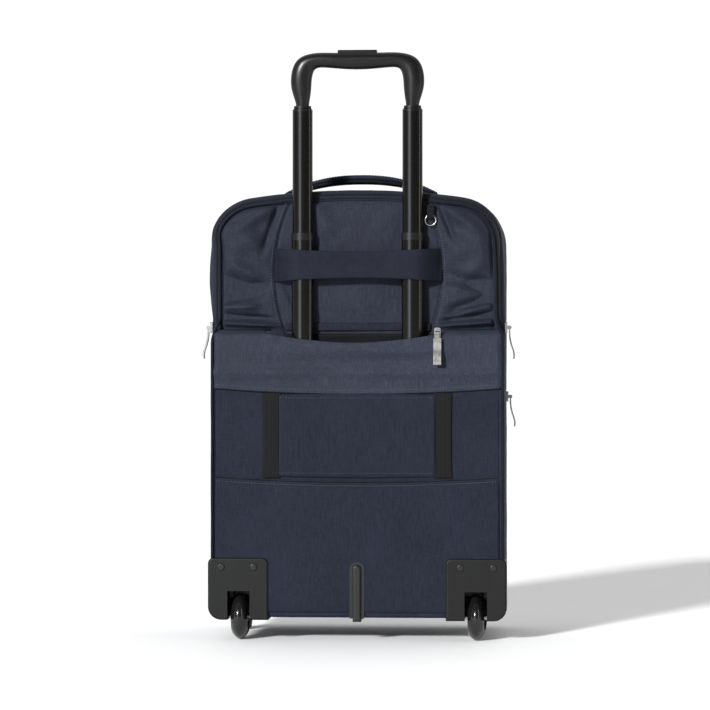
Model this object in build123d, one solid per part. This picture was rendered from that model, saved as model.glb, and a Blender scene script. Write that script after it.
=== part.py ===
"""Softside upright suitcase, cabin size: two fixed wheels, a three-stage trolley and a zipped front lid.

Frame: millimetres, +Z up, origin on the floor in the middle of the overall box.
-Y is the back (trolley and wheels), +Y the front (lid), +X the wearer's right when seen from behind.
Each physical piece is written as its own STEP file in parts/.
"""

from build123d import *
import math
import os

# ---------------------------------------------------------------- driving dimensions
BODY_WIDTH = 356.0
BODY_BOTTOM = 27.5
BODY_TOP = 545.0
DOME_RADIUS = 900.0
TOP_CORNER = 58.0
BASE_CORNER = 20.0
WALL = 4.5

BOARD_Y = (-84.0, -81.0)
SPLIT_Y = 60.0
SPLIT_GAP = 0.6
LID_GUSSET_END = 92.0
LID_PANEL_END = 95.0
FRONT_Y = 117.0

LINING_INSET = 9.5
LINING = 1.0

UPPER_PANEL_Y = -87.3
UPPER_PANEL_INSET = 14.0
STEP_Z = 375.0
LOWER_PANEL_Y = (-109.3, -106.3)
BAND_Y = -110.5
BAND_Z = (302.0, 364.0)
SLEEVE_Z = (197.0, 297.0)
SLEEVE_HALF = 94.0
ELASTIC_WIDTH = 20.5

CHAIN_INSET = 0.5
CHAIN_THICKNESS = 1.5
REAR_CHAIN_Y = (-82.0, -74.0)
FRONT_CHAIN_Y = (74.0, 82.0)
REAR_CHAIN_END = 368.0
FRONT_CHAIN_END = 284.0
TAPE_WIDTH = 4.0

WHEEL_RADIUS = 27.5
WHEEL_WIDTH = 20.0
WHEEL_X = 143.0
WHEEL_Y = -87.5
HUB_RADIUS = 18.0
AXLE_RADIUS = 3.0
BORE_CLEARANCE = 0.05
WELL_HALF = 13.5
WELL_WALL = 3.0
WELL_TOP = 60.0
WELL_FRONT = -55.0

GUARD_X = (107.0, 180.2)
GUARD_Z = (25.0, 100.0)
GUARD_Y = (-112.0, -109.0)
GUARD_SIDE = 2.0
RIVET_X = (124.7, 164.0)
RIVET_Z = 89.0

SKID_BOTTOM = 23.5

FOOT_X = 148.0
FOOT_Y = 42.0
SCREW_RADIUS = 2.0
SCREW_HOLE = 2.1

TROLLEY_X = 66.5
TROLLEY_Y = -97.0
OUTER_TUBE = (26.6, 18.0)
MIDDLE_TUBE = (24.4, 15.8)
INNER_TUBE = (22.2, 13.6)
TUBE_WALL = 0.9
OUTER_Z = (45.0, 490.0)
MIDDLE_Z = (262.0, 639.0)
INNER_Z = (300.0, 642.5)
BRACKET_Z = ((45.0, 70.0), (336.0, 360.0))
BRACKET_SCREW_X = 35.0

# Sections of half the grip, from the neck to the middle: x, z, tilt in degrees, half thickness, half depth.
GRIP_SECTIONS = (
    (66.5, 645.5, 0.0, 8.0, 6.8),
    (66.9, 653.0, 0.0, 9.2, 7.4),
    (67.8, 664.0, 0.0, 11.6, 8.4),
    (68.1, 676.0, 3.0, 12.7, 9.2),
    (62.0, 695.2, 38.0, 12.0, 9.4),
    (46.0, 700.9, 84.0, 9.1, 9.4),
    (30.0, 700.5, 90.0, 9.4, 9.6),
    (14.0, 699.9, 90.0, 10.1, 9.6),
    (0.0, 699.7, 90.0, 10.3, 9.6),
)
YOKE_Z = (700.5, 702.7)
YOKE_HALF = 67.9
BUTTON_TOP = 713.0
BUTTON_HALF = 23.8

STRAP_HALF = 101.0
STRAP_Z = (433.0, 474.0)
HANDLE_CROWN = 566.5
HANDLE_THICKNESS = 11.0
HANDLE_Y = (-26.0, 4.0)
RING_AT = (88.0, -91.4, 514.0)
RING_RADII = (6.4, 0.9)

EYE_HEIGHT = 5.8
TAB_LENGTH = 38.0
TAB_WIDTH = 9.5
CHAIN_FACE = BODY_WIDTH / 2 - CHAIN_INSET
REAR_SLIDER_Z = 378.0
FRONT_SLIDER_Z = 292.0
MAIN_TURN = 0.5
MAIN_DROOP = 12.0
FIT = 0.3


# ---------------------------------------------------------------- helpers
def box(x, y, z):
    """Box between two limits on each axis."""
    return Pos((x[0] + x[1]) / 2, (y[0] + y[1]) / 2, (z[0] + z[1]) / 2) * Box(
        x[1] - x[0], y[1] - y[0], z[1] - z[0]
    )


def slab(face, y0, y1):
    """Solid of an XZ face between two Y planes."""
    return extrude(Plane.XZ.offset(-y1) * face, amount=y1 - y0)


def prism(face, z0, z1):
    """Solid of an XY face between two Z planes."""
    return extrude(Pos(0, 0, z0) * face, amount=z1 - z0)


def rod(radius, start, end):
    """Round bar between two points."""
    axis = Vector(*end) - Vector(*start)
    plane = Plane(origin=start, z_dir=axis)
    return extrude(plane * Circle(radius), amount=axis.length)


def both_sides(solid):
    """The solid and its mirror image in the middle plane."""
    return [solid, mirror(solid, about=Plane.YZ)]


def case_face(inset):
    """Upright outline of the case, moved inwards by inset: domed top, round corners."""
    half = BODY_WIDTH / 2 - inset
    crown = BODY_TOP - inset
    dome = DOME_RADIUS - inset
    shoulder = crown - dome + math.sqrt(dome**2 - half**2)
    low = BODY_BOTTOM + inset
    sides = Polyline((-half, shoulder), (-half, low), (half, low), (half, shoulder))
    top = ThreePointArc((half, shoulder), (0, crown), (-half, shoulder))
    face = make_face(sides + top)
    face = fillet(face.vertices().group_by(Axis.Y)[-1], TOP_CORNER - inset)
    return fillet(face.vertices().group_by(Axis.Y)[0], max(BASE_CORNER - inset, 3.0))


def case_ring(outer_inset, inner_inset, y0, y1):
    """Band that follows the case outline."""
    return slab(case_face(outer_inset), y0, y1) - slab(case_face(inner_inset), y0, y1)


def cord(inset, radius, y):
    """Closed round cord that follows the case outline."""
    path = Plane.XZ.offset(-y) * case_face(inset).wire()
    return sweep(Plane(origin=path @ 0, z_dir=path % 0) * Circle(radius), path)


def well_block(gap):
    """Space that the wheel wells take in the bottom corners, grown by gap."""
    half = WELL_HALF + WELL_WALL + gap
    one = box(
        (WHEEL_X - half, WHEEL_X + half),
        (BOARD_Y[0] - 1, WELL_FRONT + WELL_WALL + gap),
        (0, WELL_TOP + WELL_WALL + gap),
    )
    return one + mirror(one, about=Plane.YZ)


def guard_block(y0, y1):
    """Space behind the corner guards, a little larger than them."""
    one = box((GUARD_X[0] - FIT, BODY_WIDTH), (y0, y1), (0, GUARD_Z[1] + FIT))
    return one + mirror(one, about=Plane.YZ)


def tube_solid(section, z0, z1):
    """Filled right-hand trolley tube, oval in section."""
    width, depth = section
    return Pos(TROLLEY_X, TROLLEY_Y) * prism(Ellipse(width / 2, depth / 2), z0, z1)


def grown(section, by):
    """Tube section offset outwards on every side."""
    width, depth = section
    return (width + 2 * by, depth + 2 * by)


def tube(section, z0, z1):
    """Hollow right-hand trolley tube."""
    return tube_solid(section, z0, z1) - tube_solid(grown(section, -TUBE_WALL), z0, z1)


# ---------------------------------------------------------------- case
def back_board():
    board = slab(case_face(WALL + 1.5), *BOARD_Y) - well_block(FIT)
    for x in (-RIVET_X[1], -RIVET_X[0], RIVET_X[0], RIVET_X[1]):
        board -= rod(SCREW_HOLE, (x, BOARD_Y[0] - 1, RIVET_Z), (x, BOARD_Y[1] + 1, RIVET_Z))
    for z0, z1 in BRACKET_Z:
        for x in (-BRACKET_SCREW_X, BRACKET_SCREW_X):
            z = (z0 + z1) / 2
            board -= rod(SCREW_HOLE, (x, BOARD_Y[0] - 1, z), (x, BOARD_Y[1] + 1, z))
    return board


def case_gusset():
    """Padded side wall, rebated for the rear zip and open over the wheel wells."""
    wall = case_ring(0, WALL, BOARD_Y[0], SPLIT_Y)
    rebate = case_ring(-1, CHAIN_INSET + CHAIN_THICKNESS, *REAR_CHAIN_Y)
    wall -= rebate & box((-200, 200), REAR_CHAIN_Y, (REAR_CHAIN_END, 600))
    wall -= case_ring(-1, CHAIN_INSET + CHAIN_THICKNESS, SPLIT_Y - TAPE_WIDTH, SPLIT_Y)
    wall -= well_block(FIT)
    for x in (-FOOT_X, FOOT_X):
        wall -= rod(SCREW_HOLE, (x, FOOT_Y, BODY_BOTTOM - 1), (x, FOOT_Y, BODY_BOTTOM + WALL + 1))
    return wall


def base_tray():
    low = BODY_BOTTOM + WALL
    floor = box((-158, 158), (BOARD_Y[1], SPLIT_Y - 10), (low, low + 2.5)) - well_block(FIT)
    for x in (-FOOT_X, FOOT_X):
        floor -= rod(SCREW_HOLE, (x, FOOT_Y, low - 1), (x, FOOT_Y, low + 4))
    return floor


def case_lining():
    """Lining of the case's inside, cut round the wheel wells."""
    y0, y1 = BOARD_Y[1] + FIT, SPLIT_Y - 14
    outer = slab(case_face(LINING_INSET), y0, y1)
    hollow = slab(case_face(LINING_INSET + LINING), y0 + LINING, y1 + 1)
    return outer - hollow - well_block(FIT)


def lower_rear_gusset():
    """Low side and bottom band that makes room for the trolley tubes."""
    band = case_ring(0, WALL, LOWER_PANEL_Y[1], BOARD_Y[0])
    band &= box((-200, 200), (LOWER_PANEL_Y[1], BOARD_Y[0]), (0, STEP_Z))
    return band - guard_block(LOWER_PANEL_Y[1] - 1, BOARD_Y[0] + 1)


def lower_back_panel():
    panel = slab(case_face(1.5), *LOWER_PANEL_Y)
    panel &= box((-200, 200), LOWER_PANEL_Y, (0, STEP_Z))
    return panel - guard_block(LOWER_PANEL_Y[0] - 1, LOWER_PANEL_Y[1] + 1)


def rear_pocket_band():
    """Stitched band across the back, below the trolley opening."""
    return box((-170.2, 170.2), (BAND_Y, LOWER_PANEL_Y[0]), BAND_Z)


def upper_back_panel():
    panel = slab(case_face(UPPER_PANEL_INSET), UPPER_PANEL_Y, BOARD_Y[0])
    return panel & box((-200, 200), (UPPER_PANEL_Y, BOARD_Y[0]), (STEP_Z + 8, 600))


def sleeve_panel():
    """Flat sleeve that slips over another case's handle; a sliver of air lies under it."""
    return box((-SLEEVE_HALF, SLEEVE_HALF), (BAND_Y - 0.4, LOWER_PANEL_Y[0] - 0.4), SLEEVE_Z)


def sleeve_elastics():
    inner, outer = SLEEVE_HALF, SLEEVE_HALF + ELASTIC_WIDTH
    return Compound(both_sides(box((inner, outer), (BAND_Y, LOWER_PANEL_Y[0]), SLEEVE_Z)))


def rear_piping():
    """Piping cords: over the upper back panel, and down both edges of the lower one."""
    upper = cord(UPPER_PANEL_INSET - 2.2, 1.8, BOARD_Y[0] - 1.9)
    upper &= box((-200, 200), (-100, 0), (STEP_Z + 2, 600))
    side = rod(1.8, (172.5, LOWER_PANEL_Y[0] - 1.9, GUARD_Z[1] + 2), (172.5, LOWER_PANEL_Y[0] - 1.9, STEP_Z))
    return Compound([upper] + both_sides(side))


def rear_zip_chain():
    """Closed zip that runs over the top from one side to the other."""
    ring = case_ring(CHAIN_INSET, CHAIN_INSET + CHAIN_THICKNESS, *REAR_CHAIN_Y)
    return ring & box((-200, 200), REAR_CHAIN_Y, (REAR_CHAIN_END, 600))


def rear_pocket_zip():
    """Two zip tapes of the open trolley pocket: on the lower panel's lip and on the upper panel."""
    near = box((-88, 88), LOWER_PANEL_Y, (STEP_Z, STEP_Z + 5))
    far = box((-88, 88), (UPPER_PANEL_Y, BOARD_Y[0]), (STEP_Z, STEP_Z + 8))
    return Compound([near, far])


def tube_strap():
    """Fabric strap over the tubes, narrower in the middle, sewn down at both ends."""
    near, far, foot = TROLLEY_Y - 11.6, TROLLEY_Y - 9.6, UPPER_PANEL_Y
    outer = [(-STRAP_HALF, foot), (-84, near), (84, near), (STRAP_HALF, foot)]
    inner = [(STRAP_HALF - 3, foot), (82, far), (-82, far), (-STRAP_HALF + 3, foot)]
    ribbon = prism(make_face(Polyline(*outer, *inner, close=True)), *STRAP_Z)
    low, high = STRAP_Z
    waist = 4.5
    top = ThreePointArc((-STRAP_HALF, high), (0, high - waist), (STRAP_HALF, high))
    bottom = ThreePointArc((STRAP_HALF, low), (0, low + waist), (-STRAP_HALF, low))
    ends = Line((STRAP_HALF, high), (STRAP_HALF, low)) + Line((-STRAP_HALF, low), (-STRAP_HALF, high))
    return ribbon & slab(make_face(top + ends + bottom), near - 1, foot)


def carry_handle():
    """Padded grab handle on the top, sewn down at both ends."""
    outer = ThreePointArc((-100, 536), (0, HANDLE_CROWN), (100, 536))
    inner = ThreePointArc((76, 536), (0, HANDLE_CROWN - HANDLE_THICKNESS), (-76, 536))
    ends = Line((100, 536), (76, 536)) + Line((-76, 536), (-100, 536))
    return slab(make_face(outer + inner + ends), *HANDLE_Y) - slab(case_face(0), *HANDLE_Y)


def lid_hinge_strip():
    """Case half of the sewn fabric hinge on the left edge."""
    x = -BODY_WIDTH / 2
    return box((x + 0.5, x + 2.0), (SPLIT_Y - TAPE_WIDTH, SPLIT_Y), (90, 470))


def main_zip_half(y0, y1):
    """Half of the main zip: every side but the hinged one."""
    ring = case_ring(CHAIN_INSET, CHAIN_INSET + CHAIN_THICKNESS, y0, y1)
    return ring - box((-200, -BODY_WIDTH / 2 + 3), (y0 - 1, y1 + 1), (80, 480))


def frame_wire(y):
    """Steel wire hoop that holds the opening's shape."""
    return cord(WALL + 2.3, 2.0, y)


def corner_guard():
    """Right-hand corner housing: back flange, side and bottom wraps, wheel well and rivet bosses."""
    flange = box(GUARD_X, (GUARD_Y[0], -62), GUARD_Z)
    flange = fillet(flange.edges().filter_by(Axis.Y).group_by(Axis.Z)[-1], 7.0)
    flange = fillet(flange.edges().filter_by(Axis.Y).group_by(Axis.Z)[0].sort_by(Axis.X)[-1], 16.0)
    flange = fillet(flange.faces().sort_by(Axis.Y)[0].edges(), 2.2)
    inside = (GUARD_X[0] - 1, GUARD_X[1] - GUARD_SIDE)
    flange -= box(inside, (GUARD_Y[1], -61), (GUARD_Z[0] - 1, GUARD_Z[1] + 1))
    sole_x = (GUARD_X[0], GUARD_X[1] - 16)
    sole = box(sole_x, (GUARD_Y[1], WELL_FRONT + WELL_WALL), (GUARD_Z[0], BODY_BOTTOM - 0.2))
    half = WELL_HALF + WELL_WALL
    well_x = (WHEEL_X - half, WHEEL_X + half)
    well = box(well_x, (GUARD_Y[1], WELL_FRONT + WELL_WALL), (GUARD_Z[0], WELL_TOP + WELL_WALL))
    solid = flange + sole + well
    for x in RIVET_X:
        solid += rod(4.0, (x, GUARD_Y[1], RIVET_Z), (x, BOARD_Y[0] - 0.2, RIVET_Z))
        solid -= rod(SCREW_HOLE, (x, GUARD_Y[0] - 1, RIVET_Z), (x, BOARD_Y[0], RIVET_Z))
    slot_x = (WHEEL_X - WELL_HALF, WHEEL_X + WELL_HALF)
    solid -= box(slot_x, (GUARD_Y[0] - 1, WELL_FRONT), (GUARD_Z[0] - 1, WELL_TOP))
    axle = rod(AXLE_RADIUS, (well_x[0] - 1, WHEEL_Y, WHEEL_RADIUS), (well_x[1] + 1, WHEEL_Y, WHEEL_RADIUS))
    return solid - axle


def fasteners():
    """Rivets of the corner guards and screws of the tube brackets and the feet."""
    made = []
    for x in (-RIVET_X[1], -RIVET_X[0], RIVET_X[0], RIVET_X[1]):
        head = rod(4.2, (x, GUARD_Y[0] - 1.6, RIVET_Z), (x, GUARD_Y[0], RIVET_Z))
        head = fillet(head.edges().group_by(Axis.Y)[0], 1.2)
        made.append(head + rod(SCREW_RADIUS, (x, GUARD_Y[0], RIVET_Z), (x, BOARD_Y[1], RIVET_Z)))
    for z0, z1 in BRACKET_Z:
        z = (z0 + z1) / 2
        head = rod(3.6, (BRACKET_SCREW_X, -93.4, z), (BRACKET_SCREW_X, -91, z))
        shank = rod(SCREW_RADIUS, (BRACKET_SCREW_X, -91, z), (BRACKET_SCREW_X, BOARD_Y[1], z))
        made += both_sides(head + shank)
    tray_top = BODY_BOTTOM + WALL + 2.5
    head = rod(3.6, (FOOT_X, FOOT_Y, tray_top), (FOOT_X, FOOT_Y, tray_top + 2.2))
    shank = rod(SCREW_RADIUS, (FOOT_X, FOOT_Y, 10), (FOOT_X, FOOT_Y, tray_top))
    return Compound(made + both_sides(head + shank))


def wheel_axle():
    half = WELL_HALF + WELL_WALL
    return rod(AXLE_RADIUS, (WHEEL_X - half, WHEEL_Y, WHEEL_RADIUS), (WHEEL_X + half, WHEEL_Y, WHEEL_RADIUS))


def wheel_profile(inner, outer, half, crown):
    """Half section of a wheel ring: straight sides that draw in over the crown to a narrow rim."""
    edge = outer - crown
    flank = [(half, edge), (0.62 * half, edge + 0.62 * crown), (0.0, outer)]
    rim = Spline(*flank, *[(-x, r) for x, r in reversed(flank[:-1])])
    rest = Polyline((-half, edge), (-half, inner), (half, inner), (half, edge))
    return make_face(rim + rest)


def wheel_ring(inner, outer, half, crown):
    """Ring that turns about the right-hand wheel's axle."""
    section = Plane.XY * wheel_profile(inner, outer, half, crown)
    return Pos(WHEEL_X, WHEEL_Y, WHEEL_RADIUS) * revolve(section, Axis.X)


def wheel_tyre():
    return wheel_ring(HUB_RADIUS, WHEEL_RADIUS, WHEEL_WIDTH / 2, 9.0)


def wheel_hub():
    """Hub with a recess in each face."""
    hub = wheel_ring(AXLE_RADIUS + BORE_CLEARANCE, HUB_RADIUS, WHEEL_WIDTH / 2 - 1, 0.01)
    for x0, x1 in ((6.5, 10.0), (-10.0, -6.5)):
        recess = rod(15.0, (WHEEL_X + x0, WHEEL_Y, WHEEL_RADIUS), (WHEEL_X + x1, WHEEL_Y, WHEEL_RADIUS))
        boss = rod(7.0, (WHEEL_X + x0, WHEEL_Y, WHEEL_RADIUS), (WHEEL_X + x1, WHEEL_Y, WHEEL_RADIUS))
        hub -= recess - boss
    return hub


def centre_skid():
    """Rub rail in the middle of the back's lower edge, turned under the base."""
    plate = box((-9, 9), (LOWER_PANEL_Y[0] - 1.4, LOWER_PANEL_Y[0]), (BODY_BOTTOM, 95))
    plate = fillet(plate.edges().filter_by(Axis.Y).group_by(Axis.Z)[-1], 8.0)
    ridge = box((-5, 5), (-114.0, LOWER_PANEL_Y[0]), (SKID_BOTTOM, 92.0))
    ridge = fillet(ridge.edges().filter_by(Axis.Y).group_by(Axis.Z)[-1], 4.6)
    ridge = fillet(ridge.faces().sort_by(Axis.Y)[0].edges(), 2.4)
    turn = box((-5, 5), (LOWER_PANEL_Y[0], -70), (SKID_BOTTOM, BODY_BOTTOM))
    return plate + ridge + turn


def front_feet():
    """Moulded stand feet under the case's front edge."""
    top = Pos(FOOT_X, FOOT_Y, BODY_BOTTOM) * RectangleRounded(18, 30, 6)
    foot = extrude(top, amount=-BODY_BOTTOM, taper=9)
    foot = fillet(foot.edges().group_by(Axis.Z)[0], 2.5)
    foot -= rod(SCREW_HOLE, (FOOT_X, FOOT_Y, 9), (FOOT_X, FOOT_Y, BODY_BOTTOM + 1))
    return Compound(both_sides(foot))


# ---------------------------------------------------------------- lid
def lid_gusset():
    y0 = SPLIT_Y + SPLIT_GAP
    wall = case_ring(0, WALL, y0, LID_GUSSET_END)
    wall -= case_ring(-1, CHAIN_INSET + CHAIN_THICKNESS, y0, y0 + TAPE_WIDTH)
    rebate = case_ring(-1, CHAIN_INSET + CHAIN_THICKNESS, *FRONT_CHAIN_Y)
    return wall - (rebate & box((-200, 200), FRONT_CHAIN_Y, (FRONT_CHAIN_END, 600)))


def front_zip_chain():
    ring = case_ring(CHAIN_INSET, CHAIN_INSET + CHAIN_THICKNESS, *FRONT_CHAIN_Y)
    return ring & box((-200, 200), FRONT_CHAIN_Y, (FRONT_CHAIN_END, 600))


def lid_front_panel():
    return slab(case_face(0), LID_GUSSET_END, LID_PANEL_END)


def front_pocket():
    """Padded outside pocket on the lid, bulged and closed."""
    pocket = slab(case_face(10), LID_PANEL_END, FRONT_Y)
    return fillet(pocket.edges().group_by(Axis.Y)[-1], 12.0)


def lid_piping():
    return cord(7.5, 1.8, LID_PANEL_END + 2.0)


# ---------------------------------------------------------------- trolley
def outer_collar():
    """Plastic cap on the fixed tube that guides the middle one."""
    cap = tube_solid(grown(OUTER_TUBE, 0.6), OUTER_Z[1] - 7, OUTER_Z[1] + 2)
    cap -= tube_solid(OUTER_TUBE, OUTER_Z[1] - 7, OUTER_Z[1])
    return cap - tube_solid(grown(MIDDLE_TUBE, 0.1), OUTER_Z[1] - 1, OUTER_Z[1] + 2)


def middle_collar():
    """Cap on the middle tube that guides the inner one."""
    top = MIDDLE_Z[1]
    return tube_solid(MIDDLE_TUBE, top, top + 2) - tube_solid(grown(INNER_TUBE, 0.1), top, top + 2)


def lock_block(section, bottom, slide_gap):
    """Plug in a tube's lower end: a guide head outside the tube and a stem inside it."""
    head = tube_solid(grown(section, slide_gap), bottom - 4, bottom)
    stem = tube_solid(grown(section, -TUBE_WALL), bottom, bottom + 28)
    return head + stem


def tube_brackets():
    """Two cross pieces that hold the fixed tubes on the board."""
    brackets = []
    for z0, z1 in BRACKET_Z:
        boss_x = (TROLLEY_X - 17, TROLLEY_X + 17)
        boss = box(boss_x, (LOWER_PANEL_Y[1] + 0.1, BOARD_Y[0]), (z0, z1)) - tube_solid(OUTER_TUBE, z0, z1)
        web = box((-52, 52), (-91, BOARD_Y[0]), (z0, z1))
        bracket = web + boss + mirror(boss, about=Plane.YZ)
        for x in (-BRACKET_SCREW_X, BRACKET_SCREW_X):
            z = (z0 + z1) / 2
            bracket -= rod(SCREW_HOLE, (x, -92, z), (x, BOARD_Y[0] + 1, z))
        brackets.append(bracket)
    return Compound(brackets)


def grip_section(x, z, tilt, thick, deep):
    """Oval section of the grip, with its thickness tilted up from the level."""
    lean = math.radians(tilt)
    plane = Plane(
        origin=(x, TROLLEY_Y, z),
        x_dir=(math.cos(lean), 0, math.sin(lean)),
        z_dir=(-math.sin(lean), 0, math.cos(lean)),
    )
    return plane * Ellipse(thick, deep)


def trolley_grip():
    """Hand grip: a thick bar with a swell for the palm and two legs that taper to the tubes."""
    right = [grip_section(*given) for given in GRIP_SECTIONS]
    left = [grip_section(-x, z, 180 - tilt, *radii) for x, z, tilt, *radii in reversed(GRIP_SECTIONS[:-1])]
    grip = loft(right + left)
    neck = GRIP_SECTIONS[0][1]
    plug = tube_solid(grown(INNER_TUBE, -TUBE_WALL), INNER_Z[1] - 18, INNER_Z[1])
    plug += tube_solid(grown(INNER_TUBE, -0.6), INNER_Z[1], neck)
    grip += plug + mirror(plug, about=Plane.YZ)
    y = TROLLEY_Y
    grip -= box((-BUTTON_HALF - 0.5, BUTTON_HALF + 0.5), (y - 4.6, y + 4.6), (YOKE_Z[1] - 0.5, BUTTON_TOP + 1))
    grip -= box((-YOKE_HALF - 0.6, YOKE_HALF + 0.6), (y - 2.6, y + 2.6), (YOKE_Z[0] - 4, YOKE_Z[1] + 0.5))
    bore = rod(2.6, (TROLLEY_X, y, INNER_Z[1] - 20), (TROLLEY_X, y, YOKE_Z[0]))
    return grip - bore - mirror(bore, about=Plane.YZ)


def grip_button():
    cap = box((-BUTTON_HALF, BUTTON_HALF), (TROLLEY_Y - 4, TROLLEY_Y + 4), (706.5, BUTTON_TOP))
    cap = fillet(cap.edges().group_by(Axis.Z)[-1], 1.5)
    return cap + box((-6, 6), (TROLLEY_Y - 2, TROLLEY_Y + 2), (YOKE_Z[1], 706.5))


def release_linkage():
    """Cross yoke under the button and the push rod in each leg."""
    yoke = box((-YOKE_HALF, YOKE_HALF), (TROLLEY_Y - 2.2, TROLLEY_Y + 2.2), YOKE_Z)
    push = rod(1.4, (TROLLEY_X, TROLLEY_Y, 345.0), (TROLLEY_X, TROLLEY_Y, YOKE_Z[0]))
    return Compound([yoke] + both_sides(push))


def rod_springs():
    """Sleeves in place of the coil springs that return the push rods."""
    low, high = INNER_Z[0] + 28, 345.0
    spring = rod(3.0, (TROLLEY_X, TROLLEY_Y, low), (TROLLEY_X, TROLLEY_Y, high))
    spring -= rod(2.3, (TROLLEY_X, TROLLEY_Y, low), (TROLLEY_X, TROLLEY_Y, high - 1.5))
    return Compound(both_sides(spring))


# ---------------------------------------------------------------- ring, sliders and pull tabs
def d_ring():
    x, y, z = RING_AT
    return Pos(x, y, z - RING_RADII[0]) * Rot(90, 0, 0) * Torus(*RING_RADII)


def d_ring_loop():
    """Folded webbing tab that carries the ring."""
    x, y, z = RING_AT
    loop = box((x - 4, x + 4), (y - 3.8, UPPER_PANEL_Y), (z - 3.8, z + 12))
    return loop - rod(2.8, (x - 5, y, z), (x + 5, y, z))


def slider():
    """Zip slider in its own frame: chain face at X = 0, outwards +X, pull axis along Y."""
    body = box((0.3, 3.2), (-3.8, 3.8), (-6.5, 6.5))
    body = fillet(body.edges().filter_by(Axis.X), 2.0)
    ears = box((3.2, EYE_HEIGHT + 1.2), (2.8, 3.8), (-2.0, 2.0))
    ears += box((3.2, EYE_HEIGHT + 1.2), (-3.8, -2.8), (-2.0, 2.0))
    return body + ears + rod(0.9, (EYE_HEIGHT, -2.8, 0), (EYE_HEIGHT, 2.8, 0))


def pull_tab():
    """Curved metal pull, hung from a pin along Y at its origin."""
    thick = 2.0
    middle = [(0.0, -1.5), (0.2, -10.0), (2.0, -20.0), (4.9, -29.0), (5.0, -TAB_LENGTH)]
    front = Spline(*[(x + thick / 2, z) for x, z in middle])
    rear = Spline(*[(x - thick / 2, z) for x, z in reversed(middle)])
    (tx, tz), (bx, bz) = middle[0], middle[-1]
    tip = Line((bx + thick / 2, bz), (bx - thick / 2, bz))
    root = Line((tx - thick / 2, tz), (tx + thick / 2, tz))
    profile = make_face(front + tip + rear + root)
    plate = slab(profile, -TAB_WIDTH / 2, TAB_WIDTH / 2)
    shoulder = 6.0
    plate -= box((-9, 9), (2.5, 9), (-shoulder, 0)) + box((-9, 9), (-9, -2.5), (-shoulder, 0))
    eye = rod(2.4, (0, -2.5, 0), (0, 2.5, 0))
    return plate + eye - rod(1.2, (0, -3, 0), (0, 3, 0))


def placements():
    """Where each slider's frame sits, and how far its tab is turned about the pin."""
    rear_y = sum(REAR_CHAIN_Y) / 2
    front_y = sum(FRONT_CHAIN_Y) / 2
    pocket = Location((97.0, LOWER_PANEL_Y[0], STEP_Z - 4), (0, 0, -90))
    dome = Pos(0, SPLIT_Y + SPLIT_GAP / 2, BODY_TOP - DOME_RADIUS)
    crown = Pos(DOME_RADIUS - CHAIN_INSET, 0, 0)
    return {
        "rear_right": (Location((CHAIN_FACE, rear_y, REAR_SLIDER_Z)), 0),
        "rear_left": (Location((-CHAIN_FACE, rear_y, REAR_SLIDER_Z), (0, 0, 180)), 0),
        "front": (Location((CHAIN_FACE, front_y, FRONT_SLIDER_Z)), 0),
        "rear_pocket": (pocket, 0),
        "main_right": (dome * Rot(0, MAIN_TURN - 90, 0) * crown, MAIN_DROOP),
        "main_left": (dome * Rot(0, 90 - MAIN_TURN, 180) * crown, MAIN_DROOP),
    }


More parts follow.
